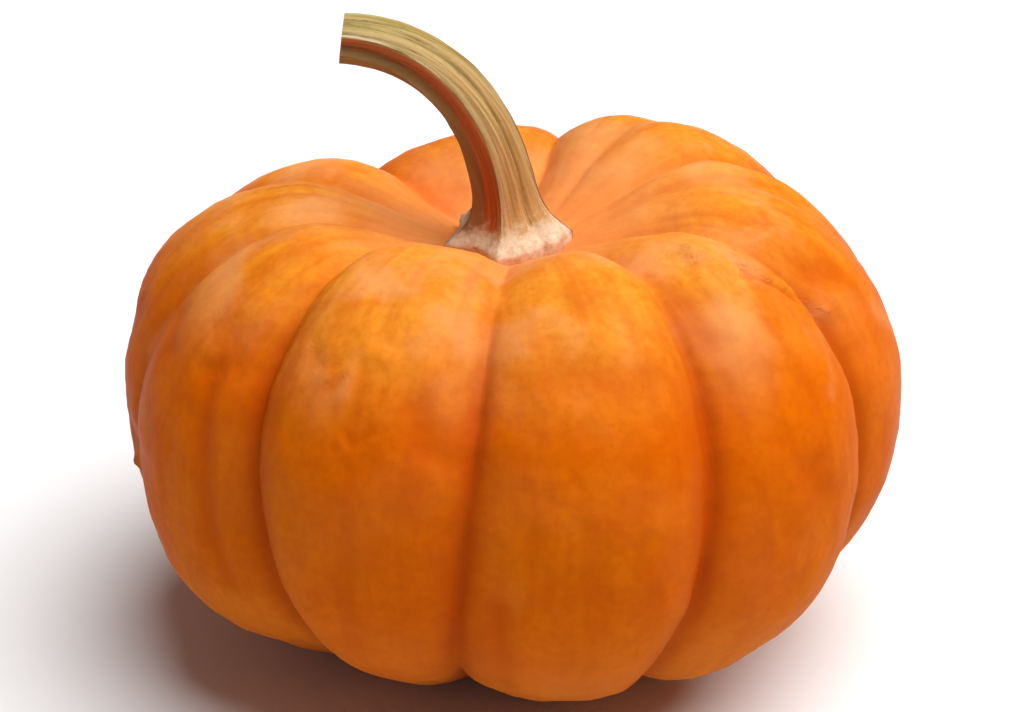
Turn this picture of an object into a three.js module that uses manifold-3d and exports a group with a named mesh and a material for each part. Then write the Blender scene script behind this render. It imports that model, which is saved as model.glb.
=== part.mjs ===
// A ribbed orange pumpkin with its dried, hooked stem.
// Millimetres, +Z up. The fruit rests on a small flat spot at z = 0, its axis is the Z axis, its best side
// faces -Y, and the stem hooks over towards -X. Azimuths run from 0 at the front, positive towards +X.
import * as THREE from 'three';
import { mergeVertices } from 'three/addons/utils/BufferGeometryUtils.js';
import Module from 'manifold-3d';

// Fruit: its outline, turned about the axis
const CREST_RADIUS = 138; // from the axis to the rib crests, at the widest ring
const WIDEST_HEIGHT = 90; // height of that ring
const CROWN_HEIGHT = 184; // height the shoulders close at, before the cavity sinks in
const SHOULDER_FULLNESS = 0.92; // powers of the sine and cosine: smaller is squarer
const BASE_FULLNESS = 0.72;
const ROUNDNESS = 0.95;
const BASE_SINK = 1.6; // depth the round underside loses to the flat spot
const CAVITY_DEPTH = 46; // stem cavity
const CAVITY_RADIUS = 50;

// The shoulders grew lower on some sides than on others: azimuth, drop (a rise where negative), and a
// power, larger where that side is narrower
const SIDES = [
  { azimuth: -156, drop: 17, power: 26 },
  { azimuth: -110, drop: 4, power: 12 },
  { azimuth: 138, drop: -4, power: 24 },
];
const SIDE_START = 60; // radius where the drops are whole

// Swellings and flats of single ribs: azimuth, polar angle, reach (degrees) and rise
const SWELLS = [
  { azimuth: -26, polar: 138, reach: 15, rise: -3 },
  { azimuth: 45, polar: 118, reach: 20, rise: 3 },
  { azimuth: -57, polar: 118, reach: 18, rise: 3 },
  { azimuth: 34, polar: 137, reach: 10, rise: 4 },
  { azimuth: -105, polar: 58, reach: 18, rise: 3 },
];

// Furrows between the ribs: azimuth, drift of the azimuth from crown to base, depth, and how far each
// furrow's left and right bank reach (degrees). One bank is often steeper than the other.
const FURROWS = [
  { azimuth: -147, drift: 0, depth: 11, left: 9, right: 9 },
  { azimuth: -110, drift: 0, depth: 8, left: 9, right: 8 },
  { azimuth: -75, drift: 0, depth: 6, left: 9, right: 8 },
  { azimuth: -39, drift: 24, depth: 10, left: 12, right: 5 },
  { azimuth: -7, drift: -10, depth: 9, left: 6, right: 9 },
  { azimuth: 29, drift: -16, depth: 10, left: 5, right: 12 },
  { azimuth: 64, drift: -6, depth: 9, left: 6, right: 10 },
  { azimuth: 97, drift: 0, depth: 4, left: 8, right: 8 },
  { azimuth: 115, drift: 0, depth: 8, left: 7, right: 9 },
  { azimuth: 142, drift: 0, depth: 4, left: 8, right: 8 },
  { azimuth: 168, drift: 0, depth: 12, left: 12, right: 9 },
];
const FURROW_SOFTNESS = 1.2; // degrees of rounding at a furrow's bottom
const CROWN_FADE = [12, 56]; // radii between which the furrows deepen, in the cavity
const BASE_FADE = [38, 92]; // the same on the underside

const MERIDIANS = 96;
const RINGS = 34;

// Stem: a ribbed stalk along a squarish quarter ellipse, flaring where it grips the fruit
const BEND_REACH = 57.5; // half axes of the ellipse, towards -X and upwards
const BEND_RISE = 75;
const BEND_SHIFT = -1.8; // the stem stands a little off the fruit's axis
const BEND_HEIGHT = 142; // height of the ellipse's centre
const BEND_POWER = 0.91; // of the sine and cosine: 1 is an ellipse, smaller is squarer
const BEND_START = -9; // degrees along the bend
const BEND_END = 88;
const NECK_RADIUS = 11.4;
const TIP_RADIUS = 8.2;
const FLARE_RADIUS = 21;
const FLARE_HEIGHT = 147; // below this the flare keeps its full width
const FLARE_FADE = 6; // how far above that it narrows, and how abruptly
const FLARE_POWER = 1.2;
const RIDGE_STAND = 1.09; // the ridges' radius, as a share of the stalk's own
const END_SLANT = 0.09; // slope of the cut end
const STEM_SIDES = 30;
const STEM_STEPS = 18;
const BEND_STEP = 0.001; // radians, to find the stalk's direction
const STEM_GAP = 0.3; // clearance between the stem's foot and the cavity

// Ridges along the stalk: each one's angle at the foot and at the tip, in degrees from the bend's outer
// side (-90 faces -Y), and how deep a share of the radius the furrow after it is cut
const RIDGES = [
  { foot: -165, tip: -104, cut: 0.3 },
  { foot: -105, tip: -62, cut: 0.2 },
  { foot: -4, tip: 30, cut: 0.2 },
  { foot: 62, tip: 98, cut: 0.2 },
  { foot: 130, tip: 178, cut: 0.24 },
];

const wasm = await Module();
wasm.setup();

function furrowDepth(azimuth, polar) {
  const fall = polar / Math.PI - 0.5;
  let depth = 0;
  for (const furrow of FURROWS) {
    const centre = THREE.MathUtils.degToRad(furrow.azimuth + furrow.drift * fall);
    const turn = Math.atan2(Math.sin(azimuth - centre), Math.cos(azimuth - centre));
    const away = THREE.MathUtils.radToDeg(turn);
    const bank = away < 0 ? furrow.left : furrow.right;
    depth += furrow.depth * Math.exp((FURROW_SOFTNESS - Math.hypot(away, FURROW_SOFTNESS)) / bank);
  }
  return depth;
}

// The outline as radius (x) and height (y) at a polar angle: 0 at the crown, pi at the base
function outline(polar) {
  const lift = Math.cos(polar);
  const reach = Math.sin(polar);
  if (lift > 0) {
    const radius = CREST_RADIUS * reach ** SHOULDER_FULLNESS;
    const cavity = CAVITY_DEPTH * Math.exp(-((radius / CAVITY_RADIUS) ** 2));
    const rise = (CROWN_HEIGHT - WIDEST_HEIGHT) * lift ** ROUNDNESS;
    return new THREE.Vector2(radius, WIDEST_HEIGHT + rise - cavity);
  }
  const radius = CREST_RADIUS * reach ** BASE_FULLNESS;
  const fall = (WIDEST_HEIGHT + BASE_SINK) * (-lift) ** ROUNDNESS;
  return new THREE.Vector2(radius, WIDEST_HEIGHT - fall);
}

function sideDrop(azimuth, polar, radius) {
  let drop = 0;
  for (const side of SIDES) {
    const away = azimuth - THREE.MathUtils.degToRad(side.azimuth);
    drop += side.drop * Math.abs(Math.cos(away / 2)) ** side.power;
  }
  const shoulder = Math.max(Math.cos(polar), 0);
  return drop * shoulder * THREE.MathUtils.smoothstep(radius, 0, SIDE_START);
}

function swelling(azimuth, polar) {
  let rise = 0;
  for (const swell of SWELLS) {
    const away = azimuth - THREE.MathUtils.degToRad(swell.azimuth);
    const turn = Math.atan2(Math.sin(away), Math.cos(away)) * Math.sin(polar);
    const fall = polar - THREE.MathUtils.degToRad(swell.polar);
    const reach = THREE.MathUtils.degToRad(swell.reach);
    rise += swell.rise * Math.exp(-((Math.hypot(turn, fall) / reach) ** 2));
  }
  return rise;
}

// A point of the skin, moved outwards by grow
function skinPoint(azimuth, polar, grow) {
  const step = 0.001;
  const before = outline(Math.max(polar - step, 0));
  const after = outline(Math.min(polar + step, Math.PI));
  const along = after.sub(before).normalize();
  const [fadeFrom, fadeTo] = polar < Math.PI / 2 ? CROWN_FADE : BASE_FADE;
  const point = outline(polar);
  const fade = THREE.MathUtils.smoothstep(point.x, fadeFrom, fadeTo);
  const shift = grow + swelling(azimuth, polar) - fade * furrowDepth(azimuth, polar);
  const onAxis = Math.sin(polar) < 1e-6;
  const radius = onAxis ? 0 : point.x - along.y * shift;
  const height = point.y + along.x * shift - sideDrop(azimuth, polar, point.x);
  return new THREE.Vector3(
    radius * Math.sin(azimuth),
    -radius * Math.cos(azimuth),
    Math.max(height, -grow),
  );
}

function weld(geometry) {
  geometry.deleteAttribute('normal');
  geometry.deleteAttribute('uv');
  return mergeVertices(geometry);
}

function fruitGeometry(grow) {
  const geometry = new THREE.SphereGeometry(1, MERIDIANS, RINGS);
  const place = geometry.attributes.position;
  for (let i = 0; i < place.count; i++) {
    const azimuth = Math.atan2(place.getX(i), place.getZ(i));
    const polar = Math.acos(THREE.MathUtils.clamp(place.getY(i), -1, 1));
    const point = skinPoint(azimuth, polar, grow);
    place.setXYZ(i, point.x, point.y, point.z);
  }
  return weld(geometry);
}

// The sides are shared out evenly among the furrows, so that corners follow the ridges. Turn, 0 to 1, goes
// once round the stalk. The result is the angle there, and how deep a share of the radius is cut away.
function aroundStalk(turn, share) {
  const furrow = Math.floor(turn * RIDGES.length);
  const across = turn * RIDGES.length - furrow;
  const ridge = RIDGES[furrow % RIDGES.length];
  const next = RIDGES[(furrow + 1) % RIDGES.length];
  const start = THREE.MathUtils.lerp(ridge.foot, ridge.tip, share);
  const end = THREE.MathUtils.lerp(next.foot, next.tip, share);
  const width = THREE.MathUtils.euclideanModulo(end - start, 360);
  return {
    angle: THREE.MathUtils.degToRad(start + across * width),
    cut: ridge.cut * (1 - (2 * across - 1) ** 2),
  };
}

function stemRadius(cut, share, height) {
  const stalk = THREE.MathUtils.lerp(NECK_RADIUS, TIP_RADIUS, share);
  const above = Math.max(height - FLARE_HEIGHT, 0);
  const spread = Math.exp(-((above / FLARE_FADE) ** FLARE_POWER));
  return THREE.MathUtils.lerp(stalk, FLARE_RADIUS, spread) * RIDGE_STAND * (1 - cut);
}

// The middle of the stalk at an angle along the bend
function bendPoint(angle) {
  const across = Math.cos(angle) ** BEND_POWER;
  const up = Math.sign(angle) * Math.abs(Math.sin(angle)) ** BEND_POWER;
  return new THREE.Vector3(BEND_SHIFT + BEND_REACH * (across - 1), 0, BEND_HEIGHT + BEND_RISE * up);
}

function stemGeometry() {
  const geometry = new THREE.CylinderGeometry(1, 1, 1, STEM_SIDES, STEM_STEPS);
  const place = geometry.attributes.position;
  const start = THREE.MathUtils.degToRad(BEND_START);
  const end = THREE.MathUtils.degToRad(BEND_END);
  const sideways = new THREE.Vector3(0, 1, 0);
  for (let i = 0; i < place.count; i++) {
    const share = place.getY(i) + 0.5;
    const turn = Math.atan2(place.getX(i), place.getZ(i)) / (2 * Math.PI);
    const { angle, cut } = aroundStalk(THREE.MathUtils.euclideanModulo(turn, 1), share);
    const onRim = Math.hypot(place.getX(i), place.getZ(i));
    const bend = THREE.MathUtils.lerp(start, end, share);
    const centre = bendPoint(bend);
    const tangent = bendPoint(bend + BEND_STEP).sub(bendPoint(bend - BEND_STEP)).normalize();
    const outer = new THREE.Vector3(tangent.z, 0, -tangent.x);
    const radius = onRim * stemRadius(cut, share, centre.z);
    const slant = -END_SLANT * radius * Math.cos(angle) * share ** 4;
    const point = centre
      .addScaledVector(outer, radius * Math.cos(angle))
      .addScaledVector(sideways, radius * Math.sin(angle))
      .addScaledVector(tangent, slant);
    place.setXYZ(i, point.x, point.y, point.z);
  }
  return weld(geometry);
}

function toSolid(geometry) {
  const mesh = new wasm.Mesh({
    numProp: 3,
    vertProperties: new Float32Array(geometry.attributes.position.array),
    triVerts: new Uint32Array(geometry.index.array),
  });
  return new wasm.Manifold(mesh);
}

function toGeometry(solid) {
  const mesh = solid.getMesh();
  const geometry = new THREE.BufferGeometry();
  geometry.setAttribute('position', new THREE.BufferAttribute(mesh.vertProperties, 3));
  geometry.setIndex(new THREE.BufferAttribute(mesh.triVerts, 1));
  return geometry;
}

function namedMesh(name, geometry, finish) {
  geometry.computeVertexNormals();
  const mesh = new THREE.Mesh(geometry, new THREE.MeshStandardMaterial(finish));
  mesh.name = name;
  return mesh;
}

// The stem's foot takes the shape of the cavity that it grew from
const foot = toSolid(stemGeometry()).subtract(toSolid(fruitGeometry(STEM_GAP)));

const pumpkin = new THREE.Group();
pumpkin.add(namedMesh('fruit', fruitGeometry(0), { color: 0xd9701a, roughness: 0.45, metalness: 0 }));
pumpkin.add(namedMesh('stem', toGeometry(foot), { color: 0xb79c63, roughness: 0.8, metalness: 0 }));

export default pumpkin;
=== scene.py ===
import math

import bmesh
import bpy
import numpy as np
from bpy.props import FloatProperty, FloatVectorProperty, IntProperty, PointerProperty
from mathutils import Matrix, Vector, noise


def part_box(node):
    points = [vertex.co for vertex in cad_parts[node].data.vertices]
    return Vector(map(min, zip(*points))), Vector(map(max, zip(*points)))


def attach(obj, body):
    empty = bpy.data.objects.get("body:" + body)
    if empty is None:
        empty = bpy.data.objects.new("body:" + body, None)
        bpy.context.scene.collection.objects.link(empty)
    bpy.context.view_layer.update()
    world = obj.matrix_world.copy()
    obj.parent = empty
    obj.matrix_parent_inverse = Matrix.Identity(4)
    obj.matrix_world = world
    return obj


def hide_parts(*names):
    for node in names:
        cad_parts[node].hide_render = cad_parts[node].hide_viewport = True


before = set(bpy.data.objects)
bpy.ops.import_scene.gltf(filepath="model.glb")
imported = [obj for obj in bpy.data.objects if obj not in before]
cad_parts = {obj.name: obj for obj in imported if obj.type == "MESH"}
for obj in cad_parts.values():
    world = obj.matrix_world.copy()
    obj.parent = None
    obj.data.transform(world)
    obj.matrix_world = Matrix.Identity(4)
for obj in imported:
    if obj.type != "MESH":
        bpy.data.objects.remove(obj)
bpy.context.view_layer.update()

bl_info = {
    "name": "Ribbed Pumpkin",
    "version": (1, 0, 0),
    "blender": (4, 5, 0),
    "location": "3D View > Sidebar > Pumpkin",
    "description": "Models a ribbed pumpkin, its hooked stem and a small studio around them",
    "category": "Add Mesh",
}

FRUIT_LOW, FRUIT_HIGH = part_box("fruit")
FRUIT_WIDTH = FRUIT_HIGH.x - FRUIT_LOW.x
FRUIT_HEIGHT = FRUIT_HIGH.z
MM = 0.001
NEARBY = 0.001  # radians, to find the direction of a curve

# A furrow's bottom is round where it is shallow (mm) or near the crown (polar angle), and sharp elsewhere
ROUND_DEPTH, SHARP_DEPTH = 4, 9
ROUND_POLAR, SHARP_POLAR = 28, 62

# Where the skin's colours lie: the painted shade along a furrow's bottom and the blush beside it, across a
# furrow, in degrees, and around the stem, in metres
CREASE_SHADE_WIDTH = 3
BANK_MIDDLE, BANK_WIDTH = 7, 4
CROWN_INNER, CROWN_OUTER = 0.020, 0.085

# Azimuths are in degrees from the front, -Y, growing towards +X. Polar angles run from 0 at the crown
# to 180 at the base.

# Furrows between the ribs: azimuth, its drift from crown to base, depth (mm), and how many degrees the
# left and the right bank reach
FURROWS = (
    (-147, 0, 11, 9, 9),
    (-110, 0, 8, 9, 8),
    (-75, 0, 6, 9, 8),
    (-39, 24, 10, 12, 5),
    (-7, -10, 9, 6, 9),
    (29, -16, 10, 5, 12),
    (64, -6, 9, 6, 10),
    (97, 0, 4, 8, 8),
    (115, 0, 8, 7, 9),
    (142, 0, 4, 8, 8),
    (168, 0, 12, 12, 9),
)

# The shoulders grew lower on some sides than on others: azimuth, drop (mm, a rise where negative), and a
# power, larger where that side is narrower
SIDES = (
    (-156, 17, 26),
    (-110, 4, 12),
    (138, -4, 24),
)

# Swellings and flats of single ribs: azimuth, polar angle, reach (degrees) and rise (mm)
SWELLS = (
    (-26, 138, 15, -3),
    (45, 118, 20, 3),
    (-57, 118, 18, 3),
    (34, 137, 10, 4),
    (-105, 58, 18, 3),
)

# Marks in the skin. Each is a stroke through (azimuth, polar angle) points, with the stroke's radius and
# its height in millimetres. Strokes with a negative height sink in.
FOLDS = (
    (((49, 32), (47, 35), (44, 40), (44, 44), (43, 48), (42, 51)), 3.2, 1.1),
    (((53, 33), (50, 38)), 6.0, 0.7),
    (((40, 55), (38, 57)), 4.5, 0.7),
    (((60, 53), (60, 56), (59, 60), (55, 65)), 2.4, 0.9),
    (((60, 36), (60, 41), (61, 46), (62, 49)), 2.8, 0.8),
    (((37, 42), (37, 50)), 5.0, -0.6),
    (((54, 46), (51, 52)), 7.0, -0.6),
    (((-24, 51), (-20, 52)), 3.5, 1.0),
)
DENTS = (
    (((-34, 54), (-30, 55)), 3.0, -0.6),
    (((-29, 59), (-27, 57)), 2.6, -0.4),
    (((-55, 55), (-52, 60)), 8.0, -0.9),
    (((-53, 64), (-50, 78), (-48, 92), (-46, 108)), 4.5, -1.1),
    (((-2, 98), (-1, 112), (-1, 126)), 4.5, -1.0),
    (((8, 54), (20, 55)), 7.0, -0.5),
    (((12, 44), (16, 48)), 6.0, 0.8),
    (((67, 56), (68, 58)), 2.6, 1.0),
    (((64, 53), (65, 55)), 3.0, -1.0),
    (((72, 50), (76, 54)), 6.0, -1.1),
    (((-15, 60), (-12, 66)), 7.0, -0.8),
    (((46, 82), (49, 88)), 8.0, -0.9),
    (((-86, 70), (-90, 78)), 8.0, -1.3),
    (((-78, 94), (-82, 96)), 4.5, -1.6),
    (((-70, 60), (-66, 66)), 6.0, -0.9),
    (((124, 62), (130, 70)), 9.0, -1.5),
    (((-128, 74), (-124, 84)), 9.0, -1.5),
    (((-170, 66), (178, 74)), 9.0, -1.2),
    (((104, 78), (107, 90)), 9.0, -1.0),
    (((154, 96), (158, 108)), 10.0, -1.2),
)
CREASES = (
    (((54, 42), (57, 46), (59, 49), (60, 52)), 1.5, -1.5),
    (((61, 36), (57, 39)), 1.4, -1.1),
    (((76, 36), (77, 39), (80, 37)), 1.2, -0.7),
    (((-26, 52), (-26, 61)), 1.6, 0.5),
    (((-20, 57), (-20, 60)), 1.2, -0.5),
    (((-24, 66), (-23, 68), (-20, 65)), 1.2, -0.5),
)
CRUMPLES = (
    (((50, 34), (55, 40)), 9.0, 1.0),
    (((57, 44), (62, 54)), 5.0, 0.7),
    (((66, 54), (70, 58)), 6.0, 0.5),
    (((-33, 53), (-27, 58)), 6.0, 0.25),
    (((-58, 54), (-52, 62)), 9.0, 0.2),
    (((-100, 60), (-96, 70)), 9.0, 0.5),
    (((152, 50), (156, 60)), 9.0, 0.6),
)
SCARS = (
    (((-26, 52), (-26, 59)), 2.4, 0.45),
    (((59, 59), (56, 66), (54, 70)), 2.2, 0.4),
    (((48, 34), (44, 42), (42, 51)), 3.4, 0.6),
    (((50, 33), (56, 41)), 6.0, 0.5),
    (((20, 44), (20, 51)), 3.0, 0.4),
    (((-14, 42), (-16, 48)), 5.0, 0.6),
    (((-66, 34), (-74, 46)), 5.0, 0.4),
    (((-74, 62), (-76, 72)), 3.5, 0.3),
    (((66, 55), (67, 57)), 3.0, 0.7),
    (((80, 66), (86, 76)), 4.0, 0.6),
    (((-104, 50), (-100, 62)), 4.0, 0.6),
)
WART = (((-79, 101),), 2.4, 1.6)

# The stalk's ridges: each one's angle at the foot and at the tip, in degrees from the outer side of the
# bend (-90 faces the front), and how deep a share of the radius the furrow after it is cut
RIDGES = (
    (-165, -104, 0.30),
    (-105, -62, 0.20),
    (-4, 30, 0.20),
    (62, 98, 0.20),
    (130, 178, 0.24),
)
INNER, FRONT, BACK = 0, 1, 4  # the furrows, by the ridge before them
CREASE_ACROSS = 0.55  # how far across the front furrow its crease lies
END_INSETS = (0.04, 0.06, 0.1, 0.15, 0.2, 0.2)


def tint(red, green, blue):
    """A colour given as it looks on a screen, 0 to 255, in the linear numbers that shaders take."""
    shares = np.array((red, green, blue)) / 255
    bright = ((shares + 0.055) / 1.055) ** 2.4
    return tuple(float(value) for value in np.where(shares <= 0.04045, shares / 12.92, bright))


def length(name, description, default):
    return FloatProperty(name=name, description=description, default=default, unit="LENGTH", precision=4)


def number(name, description, default, **more):
    return FloatProperty(name=name, description=description, default=default, **more)


def colour(name, description, default):
    return FloatVectorProperty(
        name=name, description=description, default=default, subtype="COLOR", min=0, max=1)


class RindShape(bpy.types.PropertyGroup):
    crest_radius: length(
        "Crest radius", "From the axis to the rib crests at the widest ring", 0.5091 * FRUIT_WIDTH)
    widest_height: length("Widest height", "Height of the widest ring", 0.5415 * FRUIT_HEIGHT)
    crown_height: length(
        "Crown height", "Where the shoulders would close without a cavity", 1.1071 * FRUIT_HEIGHT)
    shoulder_fullness: number("Shoulder fullness", "Power of the sine above the widest ring", 0.92)
    base_fullness: number("Base fullness", "Power of the sine below the widest ring", 0.72)
    roundness: number("Roundness", "Power of the cosine", 0.95)
    base_sink: length("Base sink", "Depth that the round underside loses to the flat spot", 0.0016)
    cavity_depth: length("Cavity depth", "How far the crown sinks in around the stem", 0.046)
    cavity_radius: length("Cavity radius", "How wide the crown sinks in", 0.050)
    side_start: length("Side start", "Radius where the drop of the low sides is whole", 0.060)
    crown_fade: length("Crown fade", "Radius where the furrows are whole on top", 0.056)
    crown_start: length("Crown start", "Radius where the furrows begin on top", 0.012)
    base_fade: length("Base fade", "Radius where the furrows are whole below", 0.092)
    base_start: length("Base start", "Radius where the furrows begin below", 0.038)
    crease_softness: number("Crease softness", "Rounding at the bottom of a furrow, in degrees", 0.8)
    crease_depth: length("Crease depth", "Depth of the sharp line along a furrow's bottom", 0.0016)
    crease_width: number("Crease width", "Width of that line, in degrees", 1.3)
    calm_height: length("Calm height", "Height below which there is no unevenness", 0.002)
    free_height: length("Free height", "Height above which the unevenness is whole", 0.020)
    lump_size: length("Lump size", "Width of the gentle lumps", 0.045)
    lump_height: length("Lump height", "Height of the gentle lumps", 0.0024)
    dimple_size: length("Dimple size", "Width of the shallow dimples", 0.018)
    dimple_height: length("Dimple height", "Height of the shallow dimples", 0.0014)
    ripple_size: length("Ripple size", "Width of the fine unevenness", 0.007)
    ripple_height: length("Ripple height", "Height of the fine unevenness", 0.0005)
    wrinkle_size: length("Wrinkle size", "Width of the wrinkles in the crumpled places", 0.006)
    crowding: number("Crowding", "How much closer the meridians stand at the front", 0.25, min=0, max=0.5)
    meridians: IntProperty(name="Meridians", description="Faces around the fruit", default=440, min=48)
    rings: IntProperty(name="Rings", description="Faces from crown to base", default=220, min=24)


class StemShape(bpy.types.PropertyGroup):
    bend_reach: length("Bend reach", "Half axis of the bend towards -X", 0.0575)
    bend_rise: length("Bend rise", "Half axis of the bend upwards", 0.075)
    bend_shift: length("Bend shift", "How far the stem stands off the fruit's axis", -0.0018)
    bend_height: length("Bend height", "Height of the middle of the bend's ellipse", 0.142)
    bend_power: number("Bend power", "Power of the bend's sine and cosine, 1 for an ellipse", 0.91)
    bend_start: number("Bend start", "Angle along the bend at the foot, in degrees", -9.0)
    bend_end: number("Bend end", "Angle along the bend at the tip, in degrees", 88.0)
    neck_radius: length("Neck radius", "Radius above the flare", 0.0114)
    tip_radius: length("Tip radius", "Radius at the cut end", 0.0082)
    flare_radius: length("Flare radius", "Radius of the corky foot", 0.021)
    flare_height: length("Flare height", "Below this the foot keeps its width", 0.147)
    flare_fade: length("Flare fade", "How far above that it narrows", 0.0058)
    flare_power: number("Flare power", "How abruptly it narrows", 1.2)
    ridge_stand: number("Ridge stand", "Radius at the ridges, as a share of the stalk's own", 1.09)
    wander: number("Wander", "How far the ridges wander from straight, in degrees", 3.0)
    crease_cut: number("Crease cut", "Depth of the crease in the front face, as a share of the radius", 0.06)
    pleat_height: length("Pleat height", "Height of the shallow pleats between the ridges", 0.0007)
    end_slant: number("End slant", "Slope of the cut end", 0.09)
    pith_depth: length("Pith depth", "How far the middle of the cut end has shrunk in", 0.002)
    fibre_height: length("Fibre height", "Height of the fibres along the stalk", 0.00035)
    cork_height: length("Cork height", "Height of the grains on the foot", 0.0006)
    sides: IntProperty(name="Sides", description="Faces around the stalk", default=200, min=24)
    steps: IntProperty(name="Steps", description="Faces along the stalk", default=160, min=12)


class RindFinish(bpy.types.PropertyGroup):
    # Deep orange is also laid into the dents as painted shade
    deep: colour("Deep orange", "The redder patches", tint(206, 82, 2))
    orange: colour("Orange", "Most of the skin", tint(231, 107, 4))
    gold: colour("Gold", "The yellower patches", tint(242, 138, 6))
    # Painted top highlight: a paler, yellower colour standing in for the light that falls on the shoulders
    top_highlight: colour("Ripe", "The skin on the shoulders, which ripened in the sun", tint(248, 156, 46))
    # Painted sheen: a pale pinkish wash standing in for the soft highlight on the shoulders
    painted_sheen: colour("Bloom", "The pale pinkish wash on the shoulders", tint(252, 180, 118))
    # Height where the painted top highlight begins
    highlight_height: length("Ripe height", "Height where the skin begins to turn", 0.123)
    scar: colour("Scar", "The healed pink scars", tint(246, 162, 98))
    wart: colour("Wart", "The brown wart", tint(150, 84, 48))
    blush: colour("Blush", "The pink streaks beside the furrows", tint(222, 128, 84))
    # Painted shade along the bottoms of the furrows
    crease: colour("Crease", "The bottoms of the furrows", tint(180, 63, 5))
    crown: colour("Crown", "The skin around the stem", tint(248, 158, 94))
    pore: colour("Pore", "The small dark pores", tint(190, 84, 18))
    # The paler underside is partly where the fruit rested and partly painted reflection of the pale floor;
    # the same colour paints that reflection on the lower flanks
    rested_and_reflection: colour("Rested", "The paler skin of the underside", tint(232, 158, 70))
    rested_height: length("Rested height", "Height up to which the underside is pale", 0.014)
    # The paler lower flanks are painted reflection of the pale floor
    reflection_top: length("Flank top", "Height below which the flanks turn a little paler", 0.075)
    reflection_bottom: length("Flank bottom", "Height below which they are palest", 0.020)
    blossom: colour("Blossom scar", "The corky scar in the middle of the underside", tint(196, 150, 96))
    blossom_radius: length("Blossom scar radius", "How wide that scar is", 0.009)
    roughness: number("Roughness", "Roughness of the waxy skin", 0.42, min=0, max=1)


class StemFinish(bpy.types.PropertyGroup):
    straw: colour("Straw", "The dry stalk", tint(198, 174, 118))
    olive: colour("Olive", "The greener fibres", tint(150, 152, 72))
    tan: colour("Tan", "The stalk lower down", tint(212, 156, 96))
    ochre: colour("Ochre", "The browner fibres", tint(168, 112, 50))
    # Painted shade on the faces under the bend
    under: colour("Underside", "The browner faces under the bend", tint(138, 92, 48))
    # Painted bounce light: the red-orange stands in for the fruit's orange light in the deep furrow
    furrow: colour("Furrow", "The deep furrow", tint(202, 108, 58))
    bark: colour("Bark", "The darker fibres in the deep furrow", tint(156, 92, 54))
    cut_end: colour("Cut end", "The weathered cut end", tint(232, 222, 196))
    # The thread colour also darkens the front face's crease as painted shade
    thread: colour("Thread", "The dark threads along the fibres", tint(84, 74, 38))
    worn: colour("Worn edge", "The pale worn ridges", tint(224, 210, 176))
    cork: colour("Cork", "The pale corky foot", tint(230, 208, 178))
    crumb: colour("Crumb", "The darker grains of the cork", tint(196, 162, 124))
    rim: colour("Rim", "The brown fringe of the foot", tint(180, 112, 74))
    rim_height: length("Rim height", "Height up to which the foot is brown", 0.1430)
    rim_fade: length("Rim fade", "Height over which that brown fades", 0.003)
    rim_raggedness: length("Rim raggedness", "How much the grains shift the brown's edge", 0.004)
    roughness: number("Roughness", "Roughness of the dry stalk", 0.8, min=0, max=1)


class StudioSetup(bpy.types.PropertyGroup):
    floor_size: length("Floor size", "Side of the floor", 8.0)
    floor: colour("Floor", "The pale floor", (0.90, 0.90, 0.90))
    bounce: number("Bounce", "Share of its light that the floor throws back", 0.78, min=0, max=1)
    sky: number("Surround", "Strength of the light from all around", 0.10)
    key_strength: number("Key strength", "Strength of the broad soft light from above", 4.0)
    key_spread: number("Key spread", "How wide that light is, in degrees", 60.0)
    key_tilt: number("Key tilt", "How far it leans to the right, in degrees", 21.0)
    lens: number("Lens", "Focal length of the camera, in millimetres", 100.5)
    distance: length("Distance", "From the camera to the point it looks at", 1.0)
    elevation: number("Elevation", "Angle that the camera looks down, in degrees", 26.0)
    look_height: length("Look height", "Height of the point the camera looks at", 0.100)


def deselect():
    if bpy.context.object and bpy.context.object.mode != "OBJECT":
        bpy.ops.object.mode_set(mode="OBJECT")
    bpy.ops.object.select_all(action="DESELECT")


def name_active(name):
    piece = bpy.context.object
    piece.name = name
    piece.data.name = name
    return piece


def corners(mesh):
    values = np.empty(len(mesh.vertices) * 3)
    mesh.vertices.foreach_get("co", values)
    return values.reshape(-1, 3)


def move_corners(mesh, places):
    mesh.vertices.foreach_set("co", places.ravel())
    mesh.update()


def paint(mesh, name, values):
    """Keeps a value, or a vector, for each corner of a mesh, for its material to read."""
    if values.ndim == 1:
        layer = mesh.attributes.new(name, "FLOAT", "POINT")
        layer.data.foreach_set("value", values.astype(np.float32))
    else:
        layer = mesh.attributes.new(name, "FLOAT_VECTOR", "POINT")
        layer.data.foreach_set("vector", values.astype(np.float32).ravel())


def smooth_share(values, start, end):
    share = np.clip((values - start) / (end - start), 0, 1)
    return share * share * (3 - 2 * share)


def grain(places, octaves=3):
    """Fractal noise, about -1 to 1, at each place."""
    return np.array([noise.fractal(Vector(place), 1.0, 2.0, octaves) for place in places])


def apply_displace(piece, name, kind, size, height):
    """Pushes the skin in and out with a procedural texture, by a modifier that is applied."""
    texture = bpy.data.textures.new(name, kind)
    texture.noise_scale = size
    modifier = piece.modifiers.new(name, "DISPLACE")
    modifier.texture = texture
    modifier.texture_coords = "LOCAL"
    modifier.strength = height
    modifier.mid_level = 0.5
    bpy.ops.object.modifier_apply(modifier=name)
    bpy.data.textures.remove(texture)


def furrow_away(azimuth, polar, furrow):
    """Degrees from the middle of a furrow, negative to its left."""
    centre, drift = furrow[:2]
    fall = polar / math.pi - 0.5
    return (np.degrees(azimuth) - centre - drift * fall + 180) % 360 - 180


def sharpness(depth, polar):
    """How sharp a furrow's bottom is: a shallow furrow is round, and so is any furrow near the crown."""
    share = min(max((depth - ROUND_DEPTH) / (SHARP_DEPTH - ROUND_DEPTH), 0), 1)
    return share * smooth_share(polar, math.radians(ROUND_POLAR), math.radians(SHARP_POLAR))


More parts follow.
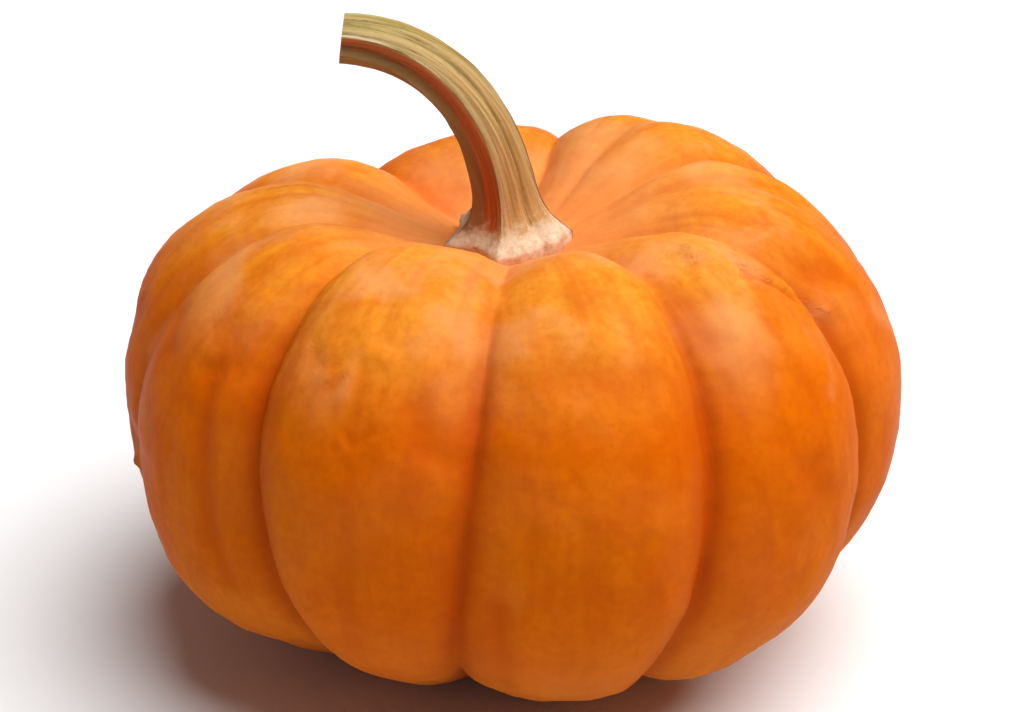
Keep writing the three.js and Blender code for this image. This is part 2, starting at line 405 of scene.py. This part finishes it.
def furrow_cut(shape, azimuth, polar):
    """Depth of all the furrows together, in metres."""
    soft = shape.crease_softness
    cut = np.zeros_like(azimuth)
    for furrow in FURROWS:
        depth, left, right = furrow[2:]
        away = furrow_away(azimuth, polar, furrow)
        bank = np.where(away < 0, left, right)
        cut += depth * MM * np.exp((soft - np.hypot(away, soft)) / bank)
        cut += sharpness(depth, polar) * shape.crease_depth * np.exp(-(away / shape.crease_width) ** 2)
    return cut


def outline(shape, polar):
    """Radius and height of the skin before the furrows are cut."""
    lift = np.cos(polar)
    reach = np.clip(np.sin(polar), 0, 1)
    above = lift > 0
    fullness = np.where(above, shape.shoulder_fullness, shape.base_fullness)
    radius = shape.crest_radius * reach ** fullness
    rise = np.where(above, shape.crown_height - shape.widest_height, -shape.widest_height - shape.base_sink)
    height = shape.widest_height + rise * np.abs(lift) ** shape.roundness
    cavity = shape.cavity_depth * np.exp(-(radius / shape.cavity_radius) ** 2)
    return radius, height - np.where(above, cavity, 0)


def outward(shape, polar):
    """Radial and upward parts of the direction that the skin faces."""
    near = outline(shape, np.maximum(polar - NEARBY, 0))
    far = outline(shape, np.minimum(polar + NEARBY, math.pi))
    along_radius = far[0] - near[0]
    along_height = far[1] - near[1]
    size = np.hypot(along_radius, along_height)
    return -along_height / size, along_radius / size


def side_drop(azimuth):
    drop = np.zeros_like(azimuth)
    for centre, depth, power in SIDES:
        drop += depth * MM * np.abs(np.cos((azimuth - math.radians(centre)) / 2)) ** power
    return drop


def swelling(azimuth, polar):
    rise = np.zeros_like(azimuth)
    for centre, fall, reach, height in SWELLS:
        turn = (np.degrees(azimuth) - centre + 180) % 360 - 180
        away = np.hypot(turn * np.sin(polar), np.degrees(polar) - fall)
        rise += height * MM * np.exp(-(away / reach) ** 2)
    return rise


def skin(shape, azimuth, polar):
    radius, height = outline(shape, polar)
    out_radius, out_height = outward(shape, polar)
    above = polar < math.pi / 2
    fade = np.where(
        above,
        smooth_share(radius, shape.crown_start, shape.crown_fade),
        smooth_share(radius, shape.base_start, shape.base_fade),
    )
    cut = fade * furrow_cut(shape, azimuth, polar)
    shift = swelling(azimuth, polar) - cut
    drop = side_drop(azimuth) * np.clip(np.cos(polar), 0, 1) * smooth_share(radius, 0, shape.side_start)
    radius = np.where(np.sin(polar) < 1e-6, 0, radius + out_radius * shift)
    height = np.maximum(height + out_height * shift - drop, 0)
    return np.stack((radius * np.sin(azimuth), -radius * np.cos(azimuth), height), axis=1), fade


def stroke_share(shape, places, points, radius):
    """1 on the line through some points of the skin, fading to 0 beyond the radius (mm) of the stroke."""
    angles = np.radians(np.array(points, dtype=float))
    line = skin(shape, angles[:, 0], angles[:, 1])[0]
    away = np.linalg.norm(places - line[0], axis=1)
    for start, end in zip(line[:-1], line[1:]):
        run = end - start
        share = np.clip((places - start) @ run / (run @ run), 0, 1)
        away = np.minimum(away, np.linalg.norm(places - start - share[:, None] * run, axis=1))
    return np.exp(-(away / (radius * MM)) ** 2)


def strokes_height(shape, places, strokes):
    total = np.zeros(len(places))
    for points, radius, height in strokes:
        total += height * MM * stroke_share(shape, places, points, radius)
    return total


class PUMPKIN_OT_rind(bpy.types.Operator):
    """Model the ribbed fruit"""
    bl_idname = "pumpkin.rind"
    bl_label = "Rind"

    def execute(self, context):
        shape = context.scene.pumpkin_rind_shape
        deselect()
        bpy.ops.mesh.primitive_uv_sphere_add(segments=shape.meridians, ring_count=shape.rings, radius=1)
        rind = name_active("pumpkin_rind")
        ball = corners(rind.data)
        turned = np.arctan2(ball[:, 0], -ball[:, 1])
        azimuth = turned - shape.crowding * np.sin(turned)
        polar = np.arccos(np.clip(ball[:, 2], -1, 1))
        places, fade = skin(shape, azimuth, polar)
        crumpled = strokes_height(shape, places, CRUMPLES)
        marks = strokes_height(shape, places, FOLDS + DENTS + CREASES + (WART,))
        near = np.flatnonzero(crumpled > 0.02 * MM)
        ridges = 1 - 2 * np.abs(grain(places[near] / shape.wrinkle_size, 2))
        marks[near] += crumpled[near] * ridges
        out_radius, out_height = outward(shape, polar)
        facing = np.stack((out_radius * np.sin(azimuth), -out_radius * np.cos(azimuth), out_height), axis=1)
        places = places + marks[:, None] * facing
        move_corners(rind.data, places)

        apply_displace(rind, "lumps", "CLOUDS", shape.lump_size, shape.lump_height)
        apply_displace(rind, "dimples", "CLOUDS", shape.dimple_size, shape.dimple_height)
        apply_displace(rind, "ripples", "CLOUDS", shape.ripple_size, shape.ripple_height)
        free = smooth_share(places[:, 2], shape.calm_height, shape.free_height)[:, None]
        move_corners(rind.data, places + free * (corners(rind.data) - places))

        # Painted shade: a dark line along each furrow's bottom, stronger where the furrow is sharp
        nearest = np.full(len(azimuth), 180.0)
        line = np.zeros(len(azimuth))
        for furrow in FURROWS:
            away = np.abs(furrow_away(azimuth, polar, furrow))
            nearest = np.minimum(nearest, away)
            strength = 0.2 + 0.8 * sharpness(furrow[2], polar)
            line = np.maximum(line, strength * np.exp(-(away / CREASE_SHADE_WIDTH) ** 1.5))
        radius = np.hypot(places[:, 0], places[:, 1])
        paint(rind.data, "furrow", fade * line)
        paint(rind.data, "bank", fade * np.exp(-((nearest - BANK_MIDDLE) / BANK_WIDTH) ** 2))
        # Painted shade: how far each corner sinks in, for the material to darken the dents
        paint(rind.data, "dip", np.clip(-marks / MM, 0, 1))
        crown = 1 - smooth_share(radius, CROWN_INNER, CROWN_OUTER)
        paint(rind.data, "crown", np.where(polar < math.pi / 2, crown, 0))
        paint(rind.data, "scar", strokes_height(shape, places, SCARS) / MM)
        paint(rind.data, "crumpled", crumpled / MM)
        paint(rind.data, "wart", stroke_share(shape, places, *WART[:2]))
        paint(rind.data, "flow", np.stack((np.sin(azimuth), np.cos(azimuth), polar), axis=1))

        bpy.ops.object.shade_smooth()
        rind.data.materials.append(rind_material(context.scene.pumpkin_rind_finish))
        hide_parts("fruit")
        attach(rind, "root")
        return {"FINISHED"}


def front_crease(furrow, across, width):
    """1 on the crease in the stalk's front face, fading to 0 on both sides."""
    return np.where(furrow == FRONT, np.exp(-((across - CREASE_ACROSS) / width) ** 2), 0)


def stalk_grain(angle, share, around, along, octaves):
    """Fractal noise on the stalk, with a frequency around it and another along it."""
    return grain(np.stack((around * np.cos(angle), around * np.sin(angle), along * share), axis=1), octaves)


def around_stalk(shape, turn, share):
    """Angle around the stalk where turn is 0 to 1, how deep it is cut, which furrow that is in, and how far
    across it. The sides are shared out evenly among the furrows, so that corners follow the ridges."""
    feet, tips, cuts = np.array(RIDGES, dtype=float).T
    spot = turn * len(RIDGES)
    furrow = np.floor(spot).astype(int) % len(RIDGES)
    across = spot - np.floor(spot)
    ridge = feet + (tips - feet) * share[:, None]
    every = np.arange(len(turn))
    start = ridge[every, furrow]
    width = (ridge[every, (furrow + 1) % len(RIDGES)] - start) % 360
    cut = cuts[furrow] * (1 - (2 * across - 1) ** 2)
    cut += shape.crease_cut * front_crease(furrow, across, 0.06)
    sway = shape.wander * np.sin(5 * share + 1.3 * furrow)
    return np.radians(start + across * width + sway), cut, furrow, across


def bend_point(shape, bend):
    """X and Z of the middle of the stalk at an angle along its bend."""
    across = np.cos(bend) ** shape.bend_power
    up = np.sign(bend) * np.abs(np.sin(bend)) ** shape.bend_power
    return np.stack((
        shape.bend_shift + shape.bend_reach * (across - 1),
        shape.bend_height + shape.bend_rise * up,
    ))


def stalk_radius(shape, cut, share, height):
    """Radius of the stalk or its foot, and how much of it is foot."""
    stalk = shape.neck_radius + (shape.tip_radius - shape.neck_radius) * share
    above = np.maximum(height - shape.flare_height, 0)
    spread = np.exp(-(above / shape.flare_fade) ** shape.flare_power)
    plain = stalk + (shape.flare_radius - stalk) * spread
    return plain * shape.ridge_stand * (1 - cut), spread


class PUMPKIN_OT_stem(bpy.types.Operator):
    """Model the hooked stem with its corky foot"""
    bl_idname = "pumpkin.stem"
    bl_label = "Stem"

    def execute(self, context):
        shape = context.scene.pumpkin_stem_shape
        step = 1 / shape.steps
        deselect()
        bpy.ops.mesh.primitive_cylinder_add(
            vertices=shape.sides, radius=1, depth=step, location=(0, 0, step / 2))
        stem = name_active("pumpkin_stem")
        bpy.ops.object.transform_apply(location=True, rotation=False, scale=False)
        bpy.ops.object.mode_set(mode="EDIT")
        bpy.ops.mesh.select_mode(type="FACE")
        bpy.ops.mesh.select_all(action="DESELECT")
        edit = bmesh.from_edit_mesh(stem.data)
        for face in edit.faces:
            face.select_set(face.normal.z > 0.5)
        bmesh.update_edit_mesh(stem.data)
        for _ in range(shape.steps - 1):
            bpy.ops.mesh.extrude_region_move(TRANSFORM_OT_translate={"value": (0, 0, step)})
        for thickness in END_INSETS:
            bpy.ops.mesh.inset(thickness=thickness)
        bpy.ops.mesh.poke()
        bpy.ops.object.mode_set(mode="OBJECT")

        tube = corners(stem.data)
        share = tube[:, 2]
        rim = np.hypot(tube[:, 0], tube[:, 1])
        turn = np.arctan2(tube[:, 1], tube[:, 0]) / (2 * math.pi) % 1
        angle, cut, furrow, across = around_stalk(shape, turn, share)
        bend = np.radians(shape.bend_start + (shape.bend_end - shape.bend_start) * share)
        middle_x, middle_z = bend_point(shape, bend)
        ahead = bend_point(shape, bend + NEARBY) - bend_point(shape, bend - NEARBY)
        ahead_x, ahead_z = ahead / np.linalg.norm(ahead, axis=0)
        radius, spread = stalk_radius(shape, cut, share, middle_z)
        hollow = 1 - (2 * across - 1) ** 2

        fibres = stalk_grain(angle, share, around=9, along=5, octaves=3)
        pleats = stalk_grain(angle, share, around=4, along=1.5, octaves=2)
        foot = np.stack((np.cos(angle) * radius, np.sin(angle) * radius, middle_z), axis=1)
        cork = grain(foot * 330, 3)
        at_end = share > 1 - step / 2
        radius = radius + (1 - spread) * (shape.fibre_height * fibres + shape.pleat_height * hollow * pleats)
        radius = radius + spread * shape.cork_height * cork
        radius = radius * rim
        pith = np.where(at_end, shape.pith_depth * np.maximum(1 - rim, 0) ** 0.7, 0)
        slant = -shape.end_slant * radius * np.cos(angle) * share ** 4 - pith
        out = radius * np.cos(angle)
        places = np.stack((
            middle_x + ahead_z * out + ahead_x * slant,
            radius * np.sin(angle),
            middle_z - ahead_x * out + ahead_z * slant,
        ), axis=1)
        move_corners(stem.data, places)

        # Painted bounce light: where the deep furrow takes the fruit's orange light, for the material to
        # colour
        red = np.where(furrow == INNER, hollow * smooth_share(across, 0.2, 0.5), 0)
        # Painted shade: the faces under the bend and at the back, for the material to darken
        below = np.where(furrow == INNER, 1 - smooth_share(across, 0.3, 0.6), furrow == BACK)
        paint(stem.data, "ridge", (1 - hollow) ** 3 * (1 - spread) * (1 - 0.9 * below))
        paint(stem.data, "deep", red * (1 - spread))
        paint(stem.data, "under", below)
        # Painted shade in the crease of the front face
        paint(stem.data, "crease", front_crease(furrow, across, 0.05))
        paint(stem.data, "foot", spread)
        paint(stem.data, "cut_end", (at_end & (rim < 0.97)).astype(float))
        paint(stem.data, "share", share)
        paint(stem.data, "flow", np.stack((np.cos(angle), np.sin(angle), share), axis=1))
        bpy.ops.object.shade_smooth_by_angle(angle=math.radians(50))
        stem.data.materials.append(stem_material(context.scene.pumpkin_stem_finish))
        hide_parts("stem")
        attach(stem, "root")
        return {"FINISHED"}


class Nodes:
    """A node tree with short ways to add a node and to join it up."""

    def __init__(self, tree):
        self.tree = tree
        tree.nodes.clear()

    def add(self, kind, settings=None, **inputs):
        node = self.tree.nodes.new(kind)
        for key, value in (settings or {}).items():
            setattr(node, key, value)
        for key, value in inputs.items():
            self.feed(node.inputs[key.replace("_", " ")], value)
        return node

    def feed(self, socket, value):
        if isinstance(value, bpy.types.NodeSocket):
            self.tree.links.new(value, socket)
        elif socket.type == "RGBA" and len(value) == 3:
            socket.default_value = (*value, 1)
        else:
            socket.default_value = value

    def attribute(self, name, output="Fac"):
        return self.add("ShaderNodeAttribute", {"attribute_name": name}).outputs[output]

    def math(self, operation, first, second=0.0, clamp=False):
        node = self.add("ShaderNodeMath", {"operation": operation, "use_clamp": clamp})
        self.feed(node.inputs[0], first)
        self.feed(node.inputs[1], second)
        return node.outputs[0]

    def mix(self, share, first, second):
        node = self.add("ShaderNodeMix", {"data_type": "RGBA"})
        self.feed(node.inputs["Factor"], share)
        self.feed(node.inputs[6], first)
        self.feed(node.inputs[7], second)
        return node.outputs[2]

    def times(self, first, second):
        return self.math("MULTIPLY", first, second)

    def stretch(self, vector, by):
        node = self.add("ShaderNodeVectorMath", {"operation": "MULTIPLY"})
        self.feed(node.inputs[0], vector)
        self.feed(node.inputs[1], by)
        return node.outputs[0]

    def ramp(self, value, start, end, kind="SMOOTHSTEP"):
        """0 where the value is at the start, rising to 1 where it is at the end."""
        return self.add("ShaderNodeMapRange", {"interpolation_type": kind}, Value=value,
                        From_Min=start, From_Max=end).outputs[0]

    def cover(self, base, over, mask, share):
        """Lays a colour over another, as thick as the mask times the share."""
        return self.mix(self.times(mask, share), base, over)

    def patches(self, vector, **levels):
        group = {"node_tree": patches_group()}
        return self.add("ShaderNodeGroup", group, Vector=vector, **levels).outputs["Mask"]


def new_group(name, inputs, output):
    tree = bpy.data.node_groups.new(name, "ShaderNodeTree")
    for label, kind, default in inputs:
        socket = tree.interface.new_socket(label, in_out="INPUT", socket_type=kind)
        if default is not None:
            socket.default_value = default
    tree.interface.new_socket(output, in_out="OUTPUT", socket_type="NodeSocketFloat")
    return tree


def patches_group():
    """A mask of soft patches: noise on any vector, stretched along its third part, between two levels."""
    name = "patches"
    if name in bpy.data.node_groups:
        return bpy.data.node_groups[name]
    tree = new_group(name, (
        ("Vector", "NodeSocketVector", None),
        ("Scale", "NodeSocketFloat", 20.0),
        ("Stretch", "NodeSocketFloat", 1.0),
        ("Detail", "NodeSocketFloat", 3.0),
        ("Low", "NodeSocketFloat", 0.4),
        ("High", "NodeSocketFloat", 0.6),
    ), "Mask")
    nodes = Nodes(tree)
    given = nodes.add("NodeGroupInput").outputs
    squash = nodes.math("DIVIDE", 1.0, given["Stretch"])
    along = nodes.add("ShaderNodeCombineXYZ", X=1.0, Y=1.0, Z=squash).outputs[0]
    scaled = nodes.stretch(given["Vector"], along)
    cloud = nodes.add("ShaderNodeTexNoise", Vector=scaled, Scale=given["Scale"], Detail=given["Detail"])
    mask = nodes.ramp(cloud.outputs[0], given["Low"], given["High"])
    out = nodes.add("NodeGroupOutput")
    nodes.feed(out.inputs["Mask"], mask)
    return tree


def new_material(name):
    material = bpy.data.materials.new(name)
    material.use_nodes = True
    return material, Nodes(material.node_tree)


def rind_material(finish):
    material, nodes = new_material("rind_wax")
    place = nodes.add("ShaderNodeTexCoord").outputs["Object"]
    height = nodes.add("ShaderNodeSeparateXYZ", Vector=place).outputs["Z"]
    flow = nodes.attribute("flow", "Vector")

    large = nodes.patches(place, Scale=16.0, Detail=5.0, Low=0.38, High=0.66)
    small = nodes.patches(place, Scale=70.0, Detail=6.0, Low=0.36, High=0.70)
    fleck = nodes.patches(place, Scale=330.0, Detail=4.0, Low=0.40, High=0.66)
    streak = nodes.patches(flow, Scale=14.0, Stretch=8.0, Detail=5.0, Low=0.42, High=0.70)
    # Painted top highlight: the colour turns paler and yellower towards the top, where the light falls
    top_highlight_share = nodes.ramp(height, finish.highlight_height, FRUIT_HEIGHT)
    base = nodes.mix(top_highlight_share, finish.orange, finish.top_highlight)
    base = nodes.cover(base, finish.gold, large, 0.28)
    base = nodes.cover(base, finish.deep, small, 0.30)
    base = nodes.cover(base, finish.deep, streak, 0.38)
    base = nodes.cover(base, finish.deep, fleck, 0.22)

    pink = nodes.patches(flow, Scale=8.0, Stretch=3.0, Detail=6.0, Low=0.48, High=0.74)
    bank = nodes.times(nodes.attribute("bank"), nodes.times(pink, nodes.math("ADD", 0.25, top_highlight_share)))
    # Painted sheen, in patches, strongest towards the top
    painted_sheen = nodes.patches(place, Scale=30.0, Detail=6.0, Low=0.42, High=0.66)
    painted_sheen = nodes.times(painted_sheen, nodes.math("ADD", 0.06, top_highlight_share))
    base = nodes.cover(base, finish.blush, bank, 0.3)
    base = nodes.cover(base, finish.painted_sheen, painted_sheen, 0.5)
    # Painted shade in the dents
    base = nodes.cover(base, finish.deep, nodes.attribute("dip"), 0.6)
    # Painted shade along the furrows' bottoms
    base = nodes.cover(base, finish.crease, nodes.attribute("furrow"), 0.7)
    base = nodes.cover(base, finish.crown, nodes.attribute("crown"), 0.6)

    # Painted reflection of the pale floor on the lower flanks
    flank_reflection = nodes.ramp(height, finish.reflection_top, finish.reflection_bottom)
    base = nodes.cover(base, finish.rested_and_reflection, flank_reflection, 0.24)
    # The paler underside: partly where the fruit rested, partly painted floor reflection
    rested_and_reflection = nodes.ramp(height, finish.rested_height, 0.0)
    base = nodes.cover(base, finish.rested_and_reflection, rested_and_reflection, nodes.math("ADD", 0.25, nodes.times(large, 0.3)))
    level = nodes.stretch(place, (1, 1, 0))
    away = nodes.add("ShaderNodeVectorMath", {"operation": "LENGTH"}, Vector=level).outputs["Value"]
    away = nodes.math("ADD", away, nodes.times(fleck, 0.002))
    blossom = nodes.ramp(away, finish.blossom_radius, 0.7 * finish.blossom_radius)
    low = nodes.math("LESS_THAN", height, finish.blossom_radius)
    base = nodes.cover(base, nodes.mix(small, finish.blossom, finish.wart), blossom, low)

    scar = nodes.math("MULTIPLY", nodes.attribute("scar"), nodes.math("ADD", 0.5, small), clamp=True)
    base = nodes.cover(base, finish.scar, scar, 0.6)
    base = nodes.mix(nodes.attribute("wart"), base, finish.wart)
    dots = nodes.add("ShaderNodeTexVoronoi", Vector=place, Scale=330.0).outputs["Distance"]
    pore = nodes.ramp(dots, 0.30, 0.05, kind="LINEAR")
    base = nodes.cover(base, finish.pore, pore, 0.08)

    fine = nodes.add("ShaderNodeTexNoise", Vector=place, Scale=240.0, Detail=5.0).outputs[0]
    folds = nodes.add("ShaderNodeTexNoise", Vector=place, Scale=150.0, Detail=2.0, Distortion=1.5).outputs[0]
    folds = nodes.math("ABSOLUTE", nodes.math("SUBTRACT", folds, 0.5))
    folds = nodes.times(folds, nodes.times(nodes.attribute("crumpled"), 6.0))
    relief = nodes.math("ADD", nodes.times(fine, 0.6), folds)
    relief = nodes.math("SUBTRACT", relief, nodes.times(pore, 0.1))
    bump = nodes.add("ShaderNodeBump", Strength=0.5, Distance=0.0006, Height=relief)
    rough = nodes.add("ShaderNodeMapRange", Value=large,
                      To_Min=finish.roughness - 0.05, To_Max=finish.roughness + 0.08)
    shader = nodes.add("ShaderNodeBsdfPrincipled", Base_Color=base, Roughness=rough.outputs[0],
                       Specular_IOR_Level=0.02, Normal=bump.outputs[0])
    nodes.add("ShaderNodeOutputMaterial", Surface=shader.outputs[0])
    return material


def stem_material(finish):
    material, nodes = new_material("dry_stalk")
    place = nodes.add("ShaderNodeTexCoord").outputs["Object"]
    height = nodes.add("ShaderNodeSeparateXYZ", Vector=place).outputs["Z"]
    flow = nodes.attribute("flow", "Vector")
    along = nodes.attribute("share")
    edge = nodes.attribute("ridge")

    green = nodes.patches(flow, Scale=3.2, Stretch=1.4, Detail=6.0, Low=0.44, High=0.60)
    brown = nodes.patches(flow, Scale=5.0, Stretch=2.4, Detail=6.0, Low=0.44, High=0.64)
    fibre = nodes.patches(flow, Scale=11.0, Stretch=3.0, Detail=7.0, Low=0.38, High=0.68)
    thread = nodes.patches(flow, Scale=24.0, Stretch=7.0, Detail=4.0, Low=0.60, High=0.72)
    stain = nodes.patches(flow, Scale=7.0, Stretch=1.6, Detail=7.0, Low=0.46, High=0.60)
    aged = nodes.math("SUBTRACT", 1.0, along, clamp=True)
    base = nodes.cover(finish.straw, finish.olive, green, nodes.math("ADD", 0.25, nodes.times(along, 0.6)))
    base = nodes.cover(base, finish.tan, aged, 0.85)
    base = nodes.cover(base, finish.ochre, brown, nodes.math("ADD", 0.15, nodes.times(aged, 0.6)))
    base = nodes.cover(base, finish.ochre, fibre, 0.3)
    # Painted shade on the faces under the bend
    base = nodes.cover(base, finish.under, nodes.attribute("under"), 0.75)
    # Painted bounce light from the fruit in the deep furrow, with darker fibres
    bark = nodes.cover(finish.furrow, finish.bark, fibre, 0.5)
    base = nodes.cover(base, bark, nodes.ramp(nodes.attribute("deep"), 0.05, 0.45), 0.95)
    # Painted shade: the front face's crease darkened with the thread colour
    crease = nodes.math("MULTIPLY", nodes.attribute("crease"), nodes.math("ADD", 0.2, fibre), clamp=True)
    dark = nodes.math("MAXIMUM", nodes.times(thread, 0.45), nodes.times(crease, 0.55))
    base = nodes.mix(dark, base, finish.thread)
    base = nodes.cover(base, finish.thread, nodes.times(stain, edge), 0.6)
    worn = nodes.times(edge, nodes.math("SUBTRACT", 1.0, nodes.math("MAXIMUM", brown, stain)))
    base = nodes.cover(base, finish.worn, worn, 0.55)

    crumbs = nodes.patches(place, Scale=380.0, Detail=8.0, Low=0.36, High=0.66)
    flecks = nodes.patches(place, Scale=620.0, Detail=3.0, Low=0.52, High=0.68)
    cork = nodes.cover(finish.cork, finish.crumb, crumbs, 0.55)
    ragged = nodes.times(nodes.math("SUBTRACT", crumbs, 0.5), 0.3)
    corky = nodes.ramp(nodes.math("ADD", nodes.attribute("foot"), ragged), 0.18, 0.62)
    base = nodes.mix(corky, base, cork)
    fringe = nodes.math("ADD", height, nodes.times(crumbs, finish.rim_raggedness))
    low = nodes.ramp(fringe, finish.rim_height + finish.rim_fade, finish.rim_height, kind="LINEAR")
    rim = nodes.math("MAXIMUM", nodes.times(low, 0.7), nodes.times(flecks, 0.3))
    base = nodes.cover(base, finish.rim, rim, corky)
    base = nodes.mix(nodes.attribute("cut_end"), base, nodes.mix(crumbs, finish.cut_end, finish.straw))

    grains = nodes.add("ShaderNodeTexNoise", Vector=place, Scale=520.0, Detail=6.0).outputs[0]
    smooth = nodes.math("SUBTRACT", 1.0, corky)
    lines = nodes.times(nodes.math("SUBTRACT", fibre, thread), smooth)
    relief = nodes.math("ADD", nodes.times(lines, 0.6), grains)
    bump = nodes.add("ShaderNodeBump", Strength=0.5, Distance=0.0005, Height=relief)
    shader = nodes.add("ShaderNodeBsdfPrincipled", Base_Color=base, Roughness=finish.roughness,
                       Specular_IOR_Level=0.15, Normal=bump.outputs[0])
    nodes.add("ShaderNodeOutputMaterial", Surface=shader.outputs[0])
    return material


def floor_material(setup):
    material, nodes = new_material("pale_floor")
    seen = nodes.add("ShaderNodeLightPath").outputs["Is Camera Ray"]
    dimmed = tuple(value * setup.bounce for value in setup.floor)
    base = nodes.mix(seen, dimmed, tuple(setup.floor))
    shader = nodes.add("ShaderNodeBsdfPrincipled", Base_Color=base, Roughness=0.9, Specular_IOR_Level=0)
    nodes.add("ShaderNodeOutputMaterial", Surface=shader.outputs[0])
    return material


class PUMPKIN_OT_studio(bpy.types.Operator):
    """Set up the pale floor, the soft light and the camera"""
    bl_idname = "pumpkin.studio"
    bl_label = "Studio"

    def execute(self, context):
        scene = context.scene
        setup = scene.pumpkin_studio
        deselect()
        bpy.ops.mesh.primitive_plane_add(size=setup.floor_size)
        floor = name_active("floor")
        floor.data.materials.append(floor_material(setup))

        world = bpy.data.worlds.new("studio")
        world.use_nodes = True
        scene.world = world
        nodes = Nodes(world.node_tree)
        seen = nodes.add("ShaderNodeLightPath").outputs["Is Camera Ray"]
        strength = nodes.math("MAXIMUM", seen, setup.sky)
        surround = nodes.add("ShaderNodeBackground", Color=(1, 1, 1), Strength=strength)
        nodes.add("ShaderNodeOutputWorld", Surface=surround.outputs[0])

        target = Vector((0, 0, setup.look_height))
        bpy.ops.object.light_add(type="SUN", location=(0.5, 0, 1.5))
        key = name_active("key_light")
        key.data.energy = setup.key_strength
        key.data.angle = math.radians(setup.key_spread)
        key.rotation_euler = (0, math.radians(setup.key_tilt), 0)

        tilt = math.radians(setup.elevation)
        back = Vector((0, -math.cos(tilt), math.sin(tilt)))
        bpy.ops.object.camera_add(location=target + back * setup.distance)
        camera = name_active("camera")
        camera.data.lens = setup.lens
        camera.rotation_euler = (-back).to_track_quat("-Z", "Y").to_euler()
        scene.camera = camera
        scene.view_settings.view_transform = "Standard"
        return {"FINISHED"}


class PUMPKIN_PT_panel(bpy.types.Panel):
    """The pumpkin's pieces and sizes"""
    bl_idname = "PUMPKIN_PT_panel"
    bl_label = "Pumpkin"
    bl_space_type = "VIEW_3D"
    bl_region_type = "UI"
    bl_category = "Pumpkin"

    def draw(self, context):
        layout = self.layout
        for operator, group in (
            ("pumpkin.rind", "pumpkin_rind_shape"),
            ("pumpkin.stem", "pumpkin_stem_shape"),
            ("pumpkin.studio", "pumpkin_studio"),
        ):
            layout.operator(operator)
            values = getattr(context.scene, group)
            for key in values.__annotations__:
                layout.prop(values, key)
        for group in ("pumpkin_rind_finish", "pumpkin_stem_finish"):
            values = getattr(context.scene, group)
            for key in values.__annotations__:
                layout.prop(values, key)


SETTINGS = {
    "pumpkin_rind_shape": RindShape,
    "pumpkin_stem_shape": StemShape,
    "pumpkin_rind_finish": RindFinish,
    "pumpkin_stem_finish": StemFinish,
    "pumpkin_studio": StudioSetup,
}
CLASSES = (*SETTINGS.values(), PUMPKIN_OT_rind, PUMPKIN_OT_stem, PUMPKIN_OT_studio, PUMPKIN_PT_panel)


def register():
    for item in CLASSES:
        bpy.utils.register_class(item)
    for name, group in SETTINGS.items():
        setattr(bpy.types.Scene, name, PointerProperty(type=group))


def unregister():
    for name in SETTINGS:
        delattr(bpy.types.Scene, name)
    for item in reversed(CLASSES):
        bpy.utils.unregister_class(item)


def main():
    register()
    bpy.ops.pumpkin.studio()
    bpy.ops.pumpkin.rind()
    bpy.ops.pumpkin.stem()


if __name__ == "__main__":
    main()
